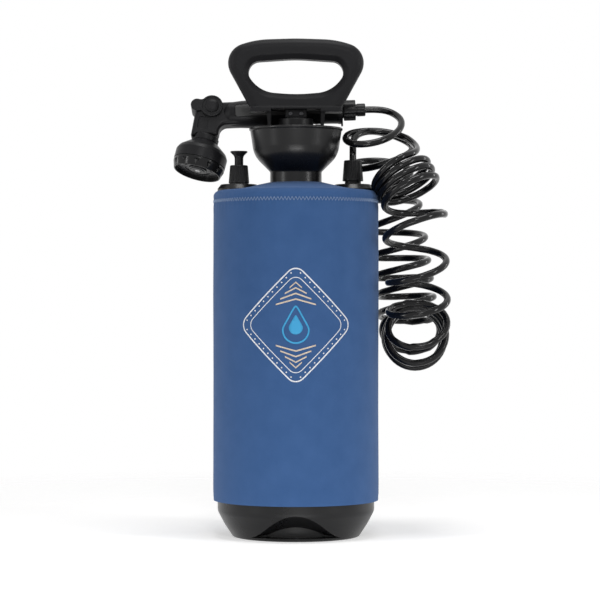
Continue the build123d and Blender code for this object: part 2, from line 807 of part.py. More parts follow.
def make_web():
    """Flat-sided core of the elbow and neck, with its rounded edges."""
    outline = FilletPolyline(
        (web_end, web_top),
        (web_left_top[0] + 5.5, web_top),
        web_left_top,
        web_left_foot,
        web_right_foot,
        web_inside_corner,
        (web_end, web_inside_corner[1]),
        radius=[0, 4, 5, 2, 2, web_inside_round, 0],
        close=True,
    )
    web = extrude(Plane.XZ * make_face(outline), web_half, both=True)
    rims = web.faces().filter_by(Axis.Y).edges()
    web = fillet([edge for edge in rims if edge.center().X < web_end - 1], web_edge_round)
    left, right, bottom, top = neck_panel
    panel = block((left, -20, bottom), (right, -web_half + neck_panel_depth, top))
    back_panel = block((left, web_half - neck_panel_depth, bottom), (right, 20, top))
    lean = Rot(0, neck_lean - 4, 0)
    return web - lean * fillet(panel.edges().filter_by(Axis.Y), 2) - lean * fillet(back_panel.edges().filter_by(Axis.Y), 2)


def make_handset():
    """Handset body with its grip, elbow and neck, the grip pads and the hose connection."""
    body = grip_form(0) + make_web()
    along_x = Rot(0, 90, 0)
    along_y = Rot(90, 0, 0)
    pivot = Pos(0, 0, pivot_height)
    body += pivot * along_y * Cylinder(pivot_boss, 2 * web_half)
    flange_end = grip_shape[-1][0] + grip_flange_length
    tail_end = hose_nut_start + hose_nut_length - 3
    body += along_x * disc(grip_flange, grip_shape[-1][0], flange_end)
    body += along_x * disc(hose_nut_mouth, flange_end, tail_end)
    tab = block((flange_end - 2.2, -2, -grip_flange - 3.2), (flange_end, 2, -grip_flange + 2))
    body += tab
    lean = Rot(0, 180 + neck_lean, 0)
    body -= lean * disc(collar_nut_radius + loose, collar_nut_start - seat, spigot_end)
    body += lean * disc(spigot_radius, collar_nut_start - 8, spigot_end)
    lobe_reach = math.hypot(*lever_lobe) + lever_lobe_radius
    body -= pivot * extrude(pad_sector(lobe_reach + 4 * seat), 2 * web_half, both=True)
    body -= along_x * disc(water_bore, 0, tail_end + 1)
    body -= lean * disc(spigot_bore, 0, spigot_end + 1)
    body -= pivot * along_y * Cylinder(spindle_radius + running, 4 * web_half)
    pads = []
    for side in (-1, 1):
        low = min(side * pad_half_height, side * 2 * grip_flange)
        high = max(side * pad_half_height, side * 2 * grip_flange)
        window = block((pad_start, low, -pad_half_height), (pad_end, high, pad_half_height))
        window = fillet(window.edges().filter_by(Axis.Y), 3)
        body -= window - grip_form(pad_depth)
        inner = block(
            (pad_start + pad_gap, low, -pad_half_height + pad_gap), (pad_end - pad_gap, high, pad_half_height - pad_gap)
        )
        inner = fillet(inner.edges().filter_by(Axis.Y), 3 - pad_gap)
        pads.append(handset_place * (inner & grip_form(0.3) - grip_form(pad_depth - 0.02)))
    nodes["handset_body"] = handset_place * body
    nodes["grip_pads"] = Compound(children=pads)
    nut_end = hose_nut_start + hose_nut_length
    nut_floor = tail_end + washer_height + 2 * seat - hose_nut_start
    nodes["hose_nut"] = handset_place * Pos(hose_nut_start, 0, 0) * along_x * hose_nut_form(nut_floor)
    washer = ring(hose_nut_mouth, water_bore, tail_end + seat, tail_end + seat + washer_height)
    nodes["hose_washer"] = handset_place * along_x * washer
    tail = turned(
        (tail_bore, tail_end + 2 * seat + washer_height),
        (collar_outer - 0.5, tail_end + 2 * seat + washer_height),
        (collar_outer - 0.5, collar_start),
        (collar_outer, collar_start),
        (collar_outer, collar_end, 1.5),
        (tail_bore, collar_end),
    )
    nodes["hose_tail"] = handset_place * along_x * tail


def hose_nut_form(floor):
    """Coupling nut about Z, from its open face. Its bore is wide up to the floor that holds the tail."""
    nut = turned(
        (hose_nut_mouth + seat, 0),
        (hose_nut_radius, 0, 1),
        (hose_nut_radius, hose_nut_length, 1),
        (collar_outer - 0.4, hose_nut_length),
        (collar_outer - 0.4, floor),
        (hose_nut_mouth + seat, floor),
    )
    scallop_radius = hose_nut_radius * 0.3
    scallop = Pos(hose_nut_radius + scallop_radius - 1.0, 0, 0) * disc(scallop_radius, -1, hose_nut_length + 1)
    return nut - PolarLocations(0, 8) * scallop


def make_head():
    """Shower head shell with the collar nut that holds it on the neck."""
    collar = ring(collar_nut_radius, spigot_radius + seat, collar_nut_start, collar_nut_end)
    collar = chamfer(collar.edges().filter_by(GeomType.CIRCLE).group_by(SortBy.RADIUS)[-1], 0.6)
    notch = Pos(-collar_nut_radius, 0, collar_nut_start) * Box(4, 6, 7)
    nodes["head_collar"] = head_place * (collar - notch)
    shell = turned(
        (0, shell_start),
        (shell_top_radius, shell_start, 1),
        (*shell_shoulder, 5),
        (shell_radius, shell_full, 3),
        (shell_radius, shell_end),
        (0, shell_end),
    )
    inner = shell_radius - shell_wall
    hollow = turned(
        (0, spigot_end + gasket_height + 2 * seat),
        (spigot_radius + 5, spigot_end + gasket_height + 2 * seat),
        (inner, shell_full + 1.5),
        (inner, shell_end),
        (0, shell_end),
    )
    shell = shell - hollow - disc(spigot_radius + seat, shell_start, spigot_end + gasket_height + 2 * seat)
    nodes["head_shell"] = head_place * shell
    gasket = ring(spigot_radius, spigot_bore, spigot_end + seat, spigot_end + seat + gasket_height)
    nodes["head_gasket"] = head_place * gasket


def make_dial():
    """Turning spray dial: fluted ring, face with its nozzle holes, centre insert and screw."""
    lip_radius = shell_radius - shell_wall - running
    ring_start = shell_end + seat
    dial = turned(
        (dial_inner, shell_end - dial_lip),
        (lip_radius, shell_end - dial_lip),
        (lip_radius, ring_start),
        (dial_top_radius, ring_start, 0.8),
        (dial_top_radius, ring_start + 3),
        (dial_end_radius, dial_end, 1),
        (dial_inner, dial_end, 0.6),
    )
    flute = Pos(dial_top_radius + 1.2, 0, dial_end) * Cylinder(dial_notch_radius, 2 * (dial_end - ring_start) - 7)
    dial -= PolarLocations(0, dial_notches) * flute
    nodes["dial_ring"] = head_place * dial
    face_end = face_start + face_height
    face = disc(dial_inner - seat, face_start, face_end)
    face += ring(insert_radius + 2.2, insert_radius + seat, face_end, face_end + 1.4)
    face += ring(16.2, 15.4, face_end, face_end + 0.9)
    face -= disc(insert_radius + seat, face_end - 1, face_end + 2)
    for circle, count in zip(nozzle_circles, nozzle_counts):
        hole = Pos(circle, 0, 0) * disc(nozzle_radius, face_start - 1, face_end + 1)
        face -= PolarLocations(0, count) * hole
    face -= disc(face_screw_radius * 0.6, face_start - 1, face_end)
    nodes["spray_face"] = head_place * face
    insert = disc(insert_radius, face_end - 1 + seat / 2, face_end + insert_height)
    insert = chamfer(insert.edges().sort_by(Axis.Z)[-1], 0.8)
    jet = Pos(insert_radius * 0.62, 0, 0) * disc(nozzle_radius, face_end - 2, face_end + 3)
    insert -= PolarLocations(0, 8) * jet
    insert -= disc(face_screw_radius * 0.6, face_end - 2, face_end + 3)
    insert -= disc(face_screw_radius + seat, face_end + 0.8, face_end + 3)
    nodes["face_insert"] = head_place * insert
    screw = disc(face_screw_radius * 0.6 - seat / 2, face_start - 2, face_end + 0.9 + seat)
    screw += disc(face_screw_radius, face_end + 0.8 + seat / 2, face_end + insert_height)
    screw -= Pos(0, 0, face_end + insert_height) * (Box(0.9, 3.4, 1.6) + Box(3.4, 0.9, 1.6))
    nodes["face_screw"] = head_place * screw


def pad_sector(reach):
    """Sector round the lever's pivot that the thumb pad sweeps outside the boss, as a face seen from the front."""
    middle = math.degrees(math.atan2(lever_lobe[1], lever_lobe[0]))
    half = math.degrees(math.asin(lever_lobe_radius / math.hypot(*lever_lobe))) + 2.0
    points = [(0.0, 0.0)]
    for step in range(4):
        turn = math.radians(middle + half - (lever_travel + 2 * half) * step / 3)
        points.append((2 * reach * math.cos(turn), 2 * reach * math.sin(turn)))
    wedge = Plane.XZ * make_face(Polyline(*points, close=True))
    return (Plane.XZ * Circle(reach) - Plane.XZ * Circle(pivot_boss + seat)) & wedge


def make_lever():
    """Thumb lever: two cheeks on the elbow's sides joined by a rounded thumb pad, with its spindle."""
    pivot = handset_place * Pos(0, 0, pivot_height)
    cheek_in = web_half + 4 * seat
    cheek_out = cheek_in + lever_cheek
    x, z = lever_lobe
    reach = math.hypot(x, z) + lever_lobe_radius
    lobe = Plane.XZ * Pos(x, z) * Circle(lever_lobe_radius)
    bridge_line = FilletPolyline(
        (0, lever_disc * 0.92),
        lever_valley,
        (x, z + lever_lobe_radius),
        (x, z - lever_lobe_radius),
        (0, z - lever_lobe_radius),
        radius=[0, lever_valley_round, 0, 0, 0],
        close=True,
    )
    cheek_face = Plane.XZ * make_face(bridge_line) + Plane.XZ * Circle(lever_disc) + lobe
    slab = extrude(cheek_face, cheek_out, both=True) - extrude(Plane.XZ * Circle(2 * reach), cheek_in, both=True)
    pad = extrude(lobe - Plane.XZ * Circle(pivot_boss + 4 * seat), cheek_out, both=True)
    lever = slab + pad
    for angle in lever_groove_angles:
        turn = math.radians(angle)
        spot = Pos(x + lever_lobe_radius * math.cos(turn), 0, z + lever_lobe_radius * math.sin(turn))
        lever -= spot * Rot(90, 0, 0) * Cylinder(lever_groove, 2 * cheek_out - 4)
    along_y = Rot(90, 0, 0)
    lever -= along_y * Cylinder(spindle_radius - 1 + seat / 2, 4 * cheek_out)
    for side in (-1, 1):
        recess = ring(lever_disc - 1.9, lever_cap_radius + seat, -0.6, 0.6)
        lever -= Pos(0, side * cheek_out, 0) * along_y * recess
    nodes["thumb_lever"] = pivot * lever
    caps = []
    for side in (-1, 1):
        dome = turned(
            (0, seat), (lever_cap_radius, seat), (lever_cap_radius, 1.0, 0.6), (lever_cap_radius * 0.6, lever_cap_height, 4),
            (0, lever_cap_height),
        )
        caps.append(pivot * Pos(0, side * cheek_out, 0) * Rot(-90 * side, 0, 0) * dome)
    nodes["lever_caps"] = Compound(children=caps)
    spindle = Cylinder(spindle_radius, 2 * web_half) + Cylinder(spindle_radius - 1, 2 * cheek_out)
    groove = ring(spindle_radius + 1, spindle_radius - spindle_groove, -spindle_seal_width / 2, spindle_seal_width / 2)
    seals = []
    for side in (-1, 1):
        spindle -= Pos(0, 0, side * spindle_seal_y) * groove
        seal = ring(spindle_radius, spindle_radius - spindle_groove + 0.02, 0.05, spindle_seal_width - 0.05)
        seals.append(pivot * along_y * Pos(0, 0, side * spindle_seal_y - spindle_seal_width / 2) * seal)
    spindle -= Cylinder(2.5, 4 * web_half, rotation=(0, 90, 0))
    nodes["valve_spindle"] = pivot * along_y * spindle
    nodes["spindle_seals"] = Compound(children=seals)


def hose_path(points, name):
    """Runs joined by the largest arcs that they allow."""
    corners = [Vector(*point) for point in points]
    radii = []
    for before, corner, after in zip(corners, corners[1:], corners[2:]):
        turn = (corner - before).get_angle(after - corner)
        shorter = min((corner - before).length, (after - corner).length)
        radius = 0.45 * shorter / math.tan(math.radians(turn / 2))
        radii.append(coil_turn_radius if name == "coil" and corner.Z == coil_turn_z else radius)
    path = FilletPolyline(*corners, radius=radii)
    print(name, "length", round(path.length), "radii", [round(radius) for radius in radii])
    return path


def make_hose():
    """Curly hose: two leads of single hose, and the coil between them as one hollow tube."""
    nut_end = fitting_z_top() - mouth_depth
    start = handset_place * Pos(collar_end + seat, 0, 0)
    first = start.position
    lead = [tuple(first), *handset_lead_route, handset_lead_end]
    path = hose_path(lead, "handset lead")
    nodes["hose_lead_handset"] = sweep(Plane(origin=path @ 0, z_dir=path % 0) * Circle(hose_radius), path=path)
    lead = [(fitting_x, 0, nut_end), *outlet_lead_route, outlet_lead_end]
    path = hose_path(lead, "outlet lead")
    nodes["hose_lead_outlet"] = sweep(Plane(origin=path @ 0, z_dir=path % 0) * Circle(hose_radius), path=path)
    path = hose_path(coil_route, "coil")
    section = Plane(origin=path @ 0, z_dir=path % 0)
    outer = sweep(section * Circle(coil_radius), path=path)
    inner = sweep(section * Circle(coil_radius - coil_wall), path=path)
    nodes["hose_coil"] = outer - inner


def fitting_z_top():
    """Height of the mouth of the gland nut."""
    return platform_z + gland_neck_height + gland_nut_height


nodes["tank"] = make_tank()
nodes["insulating_sleeve"] = make_sleeve()
make_relief_valve()
make_outlet()
make_pump()
make_piston()
make_handle()
make_handset()
make_head()
make_dial()
make_lever()
make_hose()

os.makedirs("parts", exist_ok=True)
for name, shape in nodes.items():
    export_step(shape, f"parts/{name}.step")
    print(name, "written")
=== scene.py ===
# %% [markdown]
# # A hand-pumped camp shower in the studio
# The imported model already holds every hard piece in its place: tank, pump, handle, valve and handset. This
# lesson gives those pieces their finishes, and builds what a rigid solid can't show: the neoprene sleeve
# with its sewn seam and print, and the curly hose. It ends with a white studio and a camera that stands
# where a catalogue photographer would.

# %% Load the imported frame
import math

import bmesh
import bpy
from mathutils import Matrix, Vector, noise


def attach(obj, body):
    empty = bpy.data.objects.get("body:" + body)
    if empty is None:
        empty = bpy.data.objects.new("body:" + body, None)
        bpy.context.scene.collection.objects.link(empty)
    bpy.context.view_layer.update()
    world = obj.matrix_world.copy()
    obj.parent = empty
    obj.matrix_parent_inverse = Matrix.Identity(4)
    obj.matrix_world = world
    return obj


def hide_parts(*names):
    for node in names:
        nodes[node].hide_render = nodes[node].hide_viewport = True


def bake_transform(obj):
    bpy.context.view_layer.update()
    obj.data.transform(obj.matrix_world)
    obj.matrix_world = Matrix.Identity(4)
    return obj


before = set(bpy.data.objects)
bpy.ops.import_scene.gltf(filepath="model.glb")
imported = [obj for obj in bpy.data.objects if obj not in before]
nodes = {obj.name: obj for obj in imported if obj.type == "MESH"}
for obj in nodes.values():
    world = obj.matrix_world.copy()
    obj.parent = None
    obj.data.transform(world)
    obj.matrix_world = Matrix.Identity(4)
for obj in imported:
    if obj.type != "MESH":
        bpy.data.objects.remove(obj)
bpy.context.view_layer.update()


# %% [markdown]
# ## Small helpers
# Every piece stands at the origin, with its place in its mesh. A turned or cut shape has its doubles
# merged and its normals turned outwards before anything else happens to it, because a spin can leave it
# inside out.

# %% Helpers that turn a bmesh into a piece
def object_of(mesh, name, material, smooth=True):
    """Object at the origin that shows a mesh in one material."""
    piece = bpy.data.objects.new(name, mesh)
    bpy.context.scene.collection.objects.link(piece)
    mesh.materials.clear()
    mesh.materials.append(material)
    for face in mesh.polygons:
        face.use_smooth = smooth
    return piece


def mesh_of(bm, name):
    """Mesh that takes over a bmesh as it is."""
    mesh = bpy.data.meshes.new(name)
    bm.to_mesh(mesh)
    bm.free()
    return mesh


def piece_from(bm, name, material, smooth=True):
    """Object of a bmesh, with doubles merged and normals turned outwards."""
    bmesh.ops.remove_doubles(bm, verts=bm.verts[:], dist=1e-6)
    bmesh.ops.recalc_face_normals(bm, faces=bm.faces[:])
    return object_of(mesh_of(bm, name), name, material, smooth)


def settle(piece):
    """Applies a piece's modifiers, so that its mesh is what the render shows."""
    graph = bpy.context.evaluated_depsgraph_get()
    settled = bpy.data.meshes.new_from_object(piece.evaluated_get(graph))
    piece.modifiers.clear()
    old = piece.data
    piece.data = settled
    bpy.data.meshes.remove(old)


# %% [markdown]
# ## Effects shared by the finishes
# Moulded plastic is never perfectly flat: the mould's grain breaks up the highlight, and handling leaves
# areas a little duller or shinier. One node group holds both, and a second one lets a colour drift slowly.
# Each material sets the groups' inputs to its own values. They read Object coordinates, which are the
# frame's own metres.

# %% Start a node group with named sockets
def new_group(name, inputs, outputs):
    """Empty shader group. Inputs and outputs are (name, socket type, default)."""
    group = bpy.data.node_groups.new(name, "ShaderNodeTree")
    for label, kind, default in inputs:
        socket = group.interface.new_socket(label, in_out="INPUT", socket_type=kind)
        if default is not None:
            socket.default_value = default
    for label, kind in outputs:
        group.interface.new_socket(label, in_out="OUTPUT", socket_type=kind)
    return group, group.nodes.new("NodeGroupInput"), group.nodes.new("NodeGroupOutput")


# %% Mould grain and handling marks
def build_mould_grain():
    """Height of a fine mould grain, with a slow mask of duller and shinier areas."""
    group, source, result = new_group(
        "mould_grain",
        [
            ("Position", "NodeSocketVector", None),
            ("Grain", "NodeSocketFloat", 1400.0),
            ("Areas", "NodeSocketFloat", 18.0),
        ],
        [("Height", "NodeSocketFloat"), ("Handling", "NodeSocketFloat")],
    )
    fine = group.nodes.new("ShaderNodeTexNoise")
    fine.inputs["Detail"].default_value = 3.0
    fine.inputs["Roughness"].default_value = 0.6
    cells = group.nodes.new("ShaderNodeTexVoronoi")
    cells.feature = "SMOOTH_F1"
    both = group.nodes.new("ShaderNodeMath")
    both.operation = "MULTIPLY"
    areas = group.nodes.new("ShaderNodeTexNoise")
    areas.inputs["Detail"].default_value = 4.0
    areas.inputs["Distortion"].default_value = 0.6
    link = group.links.new
    for texture, scale in ((fine, "Grain"), (cells, "Grain"), (areas, "Areas")):
        link(source.outputs["Position"], texture.inputs["Vector"])
        link(source.outputs[scale], texture.inputs["Scale"])
    link(fine.outputs["Fac"], both.inputs[0])
    link(cells.outputs["Distance"], both.inputs[1])
    link(both.outputs[0], result.inputs["Height"])
    link(areas.outputs["Fac"], result.inputs["Handling"])
    return group


def build_colour_drift():
    """A colour that wanders slowly towards a second one over the surface."""
    group, source, result = new_group(
        "colour_drift",
        [
            ("Position", "NodeSocketVector", None),
            ("Colour", "NodeSocketColor", (0.5, 0.5, 0.5, 1)),
            ("Other Colour", "NodeSocketColor", (0.5, 0.5, 0.5, 1)),
            ("Patches", "NodeSocketFloat", 20.0),
        ],
        [("Colour", "NodeSocketColor")],
    )
    patches = group.nodes.new("ShaderNodeTexNoise")
    patches.inputs["Detail"].default_value = 5.0
    spread = group.nodes.new("ShaderNodeMapRange")
    spread.inputs["From Min"].default_value = 0.3
    spread.inputs["From Max"].default_value = 0.7
    mix = group.nodes.new("ShaderNodeMix")
    mix.data_type = "RGBA"
    link = group.links.new
    link(source.outputs["Position"], patches.inputs["Vector"])
    link(source.outputs["Patches"], patches.inputs["Scale"])
    link(patches.outputs["Fac"], spread.inputs["Value"])
    link(spread.outputs["Result"], mix.inputs["Factor"])
    link(source.outputs["Colour"], mix.inputs["A"])
    link(source.outputs["Other Colour"], mix.inputs["B"])
    link(mix.outputs["Result"], result.inputs["Colour"])
    return group


mould_grain = build_mould_grain()
colour_drift = build_colour_drift()
print("groups", mould_grain.name, colour_drift.name)


# %% [markdown]
# ## Moulded finishes
# The tank is blow-moulded and satin, the handle and the handset are matt and slightly grained, and the dial
# and the hose are glossy. They differ only in a few numbers, so one function builds them all. A Bevel node
# rounds the solids' sharp edges in the shading, so that each edge catches a thin line of light, as moulded
# edges do.

# %% Build a moulded material
handling_spread = 0.06
least_roughness = 0.03
mm = 0.001


def moulded(name, colour, other, rough, grain, depth=0.05, edge=0.0004, level=0.5):
    """Moulded plastic or rubber: two base colours, roughness, grain per metre, the grain's depth in
    millimetres, the rounding of edges in metres, and how strongly the surface reflects."""
    material = bpy.data.materials.new(name)
    material.use_nodes = True
    tree = material.node_tree
    shader = tree.nodes["Principled BSDF"]
    shader.inputs["Specular IOR Level"].default_value = level
    place = tree.nodes.new("ShaderNodeTexCoord")
    drift = tree.nodes.new("ShaderNodeGroup")
    drift.node_tree = colour_drift
    drift.inputs["Colour"].default_value = (*colour, 1)
    drift.inputs["Other Colour"].default_value = (*other, 1)
    surface = tree.nodes.new("ShaderNodeGroup")
    surface.node_tree = mould_grain
    surface.inputs["Grain"].default_value = grain
    dullness = tree.nodes.new("ShaderNodeMapRange")
    dullness.inputs["From Min"].default_value = 0.3
    dullness.inputs["From Max"].default_value = 0.7
    dullness.inputs["To Min"].default_value = max(rough - handling_spread, least_roughness)
    dullness.inputs["To Max"].default_value = rough + handling_spread
    rounding = tree.nodes.new("ShaderNodeBevel")
    rounding.samples = 4
    rounding.inputs["Radius"].default_value = edge
    bump = tree.nodes.new("ShaderNodeBump")
    bump.inputs["Strength"].default_value = 0.6
    bump.inputs["Distance"].default_value = depth * mm
    link = tree.links.new
    link(place.outputs["Object"], drift.inputs["Position"])
    link(place.outputs["Object"], surface.inputs["Position"])
    link(drift.outputs["Colour"], shader.inputs["Base Color"])
    link(surface.outputs["Handling"], dullness.inputs["Value"])
    link(dullness.outputs["Result"], shader.inputs["Roughness"])
    link(surface.outputs["Height"], bump.inputs["Height"])
    link(rounding.outputs["Normal"], bump.inputs["Normal"])
    link(bump.outputs["Normal"], shader.inputs["Normal"])
    return material


satin_tank = moulded(
    "satin_tank", (0.005, 0.005, 0.0055), (0.007, 0.007, 0.0075), 0.3,
    grain=900.0, depth=0.06, edge=0.0012, level=0.26,
)
matt_handle = moulded(
    "matt_handle", (0.010, 0.010, 0.011), (0.013, 0.013, 0.014), 0.44,
    grain=1500.0, depth=0.08, edge=0.0025, level=0.1,
)
matt_handset = moulded(
    "matt_handset", (0.009, 0.009, 0.010), (0.012, 0.012, 0.013), 0.38,
    grain=1500.0, depth=0.06, edge=0.0012, level=0.12,
)
fitting_black = moulded(
    "fitting_black", (0.008, 0.008, 0.0085), (0.011, 0.011, 0.012), 0.34,
    grain=1600.0, depth=0.05, edge=0.0006, level=0.15,
)
gloss_dial = moulded(
    "gloss_dial", (0.006, 0.006, 0.0065), (0.009, 0.009, 0.0095), 0.2,
    grain=700.0, depth=0.02, edge=0.0005, level=0.2,
)
spray_plate = moulded(
    "spray_plate", (0.012, 0.012, 0.013), (0.015, 0.015, 0.016), 0.3,
    grain=1200.0, depth=0.04, level=0.2,
)
gloss_hose = moulded(
    "gloss_hose", (0.0035, 0.0035, 0.004), (0.005, 0.005, 0.0055), 0.14,
    grain=260.0, depth=0.03, edge=0.0001, level=0.25,
)
grip_rubber = moulded(
    "grip_rubber", (0.018, 0.018, 0.018), (0.023, 0.023, 0.023), 0.62,
    grain=2200.0, depth=0.12,
)
seal_rubber = moulded(
    "seal_rubber", (0.012, 0.012, 0.012), (0.017, 0.017, 0.017), 0.6,
    grain=1800.0, depth=0.05, edge=0.0002,
)
milky_tube = moulded(
    "milky_tube", (0.62, 0.63, 0.61), (0.54, 0.55, 0.53), 0.3,
    grain=300.0, depth=0.02, edge=0.0003,
)


# %% [markdown]
# ## Steel
# The rod, its nut, the spring and the dial's screw are stainless steel, and the handle's screws are
# blackened. Both are a metal in the shader, with fine upright scratches that widen the highlight: stretched
# noise does that better than an even grain.

# %% Brushed steel
def build_steel(name, colour, duller):
    """Brushed steel with fine upright scratches, rougher by the value of duller."""
    material = bpy.data.materials.new(name)
    material.use_nodes = True
    tree = material.node_tree
    shader = tree.nodes["Principled BSDF"]
    shader.inputs["Base Color"].default_value = (*colour, 1)
    shader.inputs["Metallic"].default_value = 1.0
    place = tree.nodes.new("ShaderNodeTexCoord")
    stretch = tree.nodes.new("ShaderNodeMapping")
    stretch.inputs["Scale"].default_value = (1, 1, 0.04)
    scratches = tree.nodes.new("ShaderNodeTexNoise")
    scratches.inputs["Scale"].default_value = 2600.0
    rough = tree.nodes.new("ShaderNodeMapRange")
    rough.inputs["To Min"].default_value = 0.2 + duller
    rough.inputs["To Max"].default_value = 0.42 + duller
    bump = tree.nodes.new("ShaderNodeBump")
    bump.inputs["Strength"].default_value = 0.3
    bump.inputs["Distance"].default_value = 0.00002
    link = tree.links.new
    link(place.outputs["Object"], stretch.inputs["Vector"])
    link(stretch.outputs["Vector"], scratches.inputs["Vector"])
    link(scratches.outputs["Fac"], rough.inputs["Value"])
    link(rough.outputs["Result"], shader.inputs["Roughness"])
    link(scratches.outputs["Fac"], bump.inputs["Height"])
    link(bump.outputs["Normal"], shader.inputs["Normal"])
    return material


stainless_steel = build_steel("stainless_steel", (0.52, 0.52, 0.53), 0.0)
blackened_steel = build_steel("blackened_steel", (0.05, 0.05, 0.053), 0.1)


# %% [markdown]
# ## Finishes onto the solids
# The solids keep their shapes. Each finish lists the pieces that are made of it. Four solids get none: the
# sleeve and the hose's three parts, which are built further on. Any other piece left out would show in the
# count that is printed.

# %% Give every solid its finish
finishes = {
    satin_tank: ["tank"],
    matt_handle: ["pump_handle"],
    matt_handset: ["handset_body", "head_shell", "head_collar", "thumb_lever", "lever_caps"],
    fitting_black: [
        "relief_cap", "relief_plunger", "outlet_cap_nut", "outlet_tail", "dip_strainer", "pump_head",
        "rod_guide", "pump_barrel", "barrel_foot", "piston_head", "hose_tail", "hose_nut", "valve_spindle",
    ],
    gloss_dial: ["dial_ring"],
    spray_plate: ["spray_face", "face_insert"],
    grip_rubber: ["grip_pads"],
    seal_rubber: [
        "relief_gasket", "relief_seal", "outlet_gasket", "pump_head_seal", "check_flap", "piston_cup",
        "hose_washer", "head_gasket", "spindle_seals",
    ],
    milky_tube: ["dip_tube"],
    stainless_steel: ["relief_spring", "piston_rod", "piston_nut", "face_screw"],
    blackened_steel: ["handle_screws"],
}
replaced_count = 4
finished = 0
for material, names in finishes.items():
    for name in names:
        for slot in nodes[name].material_slots:
            slot.material = material
        finished += 1
print("solids with a finish", finished, "of", len(nodes) - replaced_count, "that show")


# %% [markdown]
# ## Neoprene
# The sleeve is foam rubber faced with a fine knit. A knit is rows of small loops: upright ribs, each
# crossed by rows that lean like arrow heads. Two sine waves made of Math nodes give that height on the
# cloth's own map, which is laid out in metres, so a rib has the same width everywhere. The sheen is set on
# the shader, because it is the same all over.

# %% Knit texture
def build_knit():
    """Height of a fine knit on a map in metres, with the ribs and rows counted per metre."""
    group, source, result = new_group(
        "knit",
        [
            ("Map", "NodeSocketVector", None),
            ("Ribs", "NodeSocketFloat", 900.0),
            ("Rows", "NodeSocketFloat", 1100.0),
        ],
        [("Height", "NodeSocketFloat")],
    )
    parts = group.nodes.new("ShaderNodeSeparateXYZ")
    link = group.links.new
    link(source.outputs["Map"], parts.inputs["Vector"])

    def maths(operation, first, second=None):
        """Result of a Math node whose inputs are numbers or sockets."""
        node = group.nodes.new("ShaderNodeMath")
        node.operation = operation
        for socket, value in zip(node.inputs, (first, second)):
            if value is None:
                continue
            if isinstance(value, (int, float)):
                socket.default_value = value
            else:
                link(value, socket)
        return node.outputs[0]

    across = maths("MULTIPLY", parts.outputs["X"], source.outputs["Ribs"])
    along = maths("MULTIPLY", parts.outputs["Y"], source.outputs["Rows"])
    rib = maths("ABSOLUTE", maths("SINE", maths("MULTIPLY", across, math.pi)))
    lean = maths("ADD", along, maths("MULTIPLY", rib, 0.5))
    row = maths("ABSOLUTE", maths("SINE", maths("MULTIPLY", lean, math.pi)))
    raised = maths("ADD", maths("MULTIPLY", row, 0.5), 0.5)
    height = maths("MULTIPLY", maths("POWER", rib, 0.5), raised)
    link(height, result.inputs["Height"])
    return group


def build_neoprene():
    """Blue knit-faced neoprene."""
    material = bpy.data.materials.new("blue_neoprene")
    material.use_nodes = True
    tree = material.node_tree
    shader = tree.nodes["Principled BSDF"]
    shader.inputs["Specular IOR Level"].default_value = 0.25
    shader.inputs["Sheen Weight"].default_value = 0.12
    shader.inputs["Sheen Roughness"].default_value = 0.5
    shader.inputs["Sheen Tint"].default_value = (0.6, 0.72, 0.95, 1)
    place = tree.nodes.new("ShaderNodeTexCoord")
    cloth_map = tree.nodes.new("ShaderNodeUVMap")
    cloth_map.uv_map = "cloth"
    knit = tree.nodes.new("ShaderNodeGroup")
    knit.node_tree = build_knit()
    drift = tree.nodes.new("ShaderNodeGroup")
    drift.node_tree = colour_drift
    drift.inputs["Colour"].default_value = (0.030, 0.088, 0.232, 1)
    drift.inputs["Other Colour"].default_value = (0.038, 0.101, 0.256, 1)
    drift.inputs["Patches"].default_value = 45.0
    # The knit's height also multiplies the colour, so the hollows between the loops are darker: painted
    # shade.
    painted_hollow_shade = tree.nodes.new("ShaderNodeMix")
    painted_hollow_shade.data_type = "RGBA"
    painted_hollow_shade.blend_type = "MULTIPLY"
    painted_hollow_shade.inputs["Factor"].default_value = 0.35
    fibre = tree.nodes.new("ShaderNodeTexNoise")
    fibre.inputs["Scale"].default_value = 700.0
    rough = tree.nodes.new("ShaderNodeMapRange")
    rough.inputs["To Min"].default_value = 0.72
    rough.inputs["To Max"].default_value = 0.88
    bump = tree.nodes.new("ShaderNodeBump")
    bump.inputs["Strength"].default_value = 0.5
    bump.inputs["Distance"].default_value = 0.00012
    link = tree.links.new
    link(cloth_map.outputs["UV"], knit.inputs["Map"])
    link(place.outputs["Object"], drift.inputs["Position"])
    link(place.outputs["Object"], fibre.inputs["Vector"])
    link(drift.outputs["Colour"], painted_hollow_shade.inputs["A"])
    link(knit.outputs["Height"], painted_hollow_shade.inputs["B"])
    link(painted_hollow_shade.outputs["Result"], shader.inputs["Base Color"])
    link(fibre.outputs["Fac"], rough.inputs["Value"])
    link(rough.outputs["Result"], shader.inputs["Roughness"])
    link(knit.outputs["Height"], bump.inputs["Height"])
    link(bump.outputs["Normal"], shader.inputs["Normal"])
    return material


blue_neoprene = build_neoprene()


# %% [markdown]
# ## The sleeve's form
# Stretched over a hard tank, neoprene is almost a turned form, but never quite: the foam swells a little
# between the seams, is drawn in where it is sewn, and puckers beside the stitches. One function gives that
# radius at any angle and height. The sleeve, its thread and the print all ask it, so they stay together.

# %% How far the cloth stands from the tank's axis
sleeve_radius = 0.0949
sleeve_bottom = 0.0415
sleeve_thickness = 0.0043
shoulder_edge = 0.3955
neck_opening = 0.0312
seam_height = 0.3838
seam_half = 0.0027
stitch_count = 148
fitting_x = 0.0655
platform_radius = 0.0258
swells_round, swells_up, finer = 2.2, 9.0, 4.0
slow_depth, fine_depth = 0.00035, 0.00010
drawn_depth, drawn_width = 0.00055, 0.0045
pucker_depth, pucker_width = 0.00016, 0.006
hem_depth, hem_width = 0.0005, 0.006


def bell(distance, width):
    """Smooth hump that is 1 at no distance and has almost gone at twice the width."""
    return math.exp(-((distance / width) ** 2))


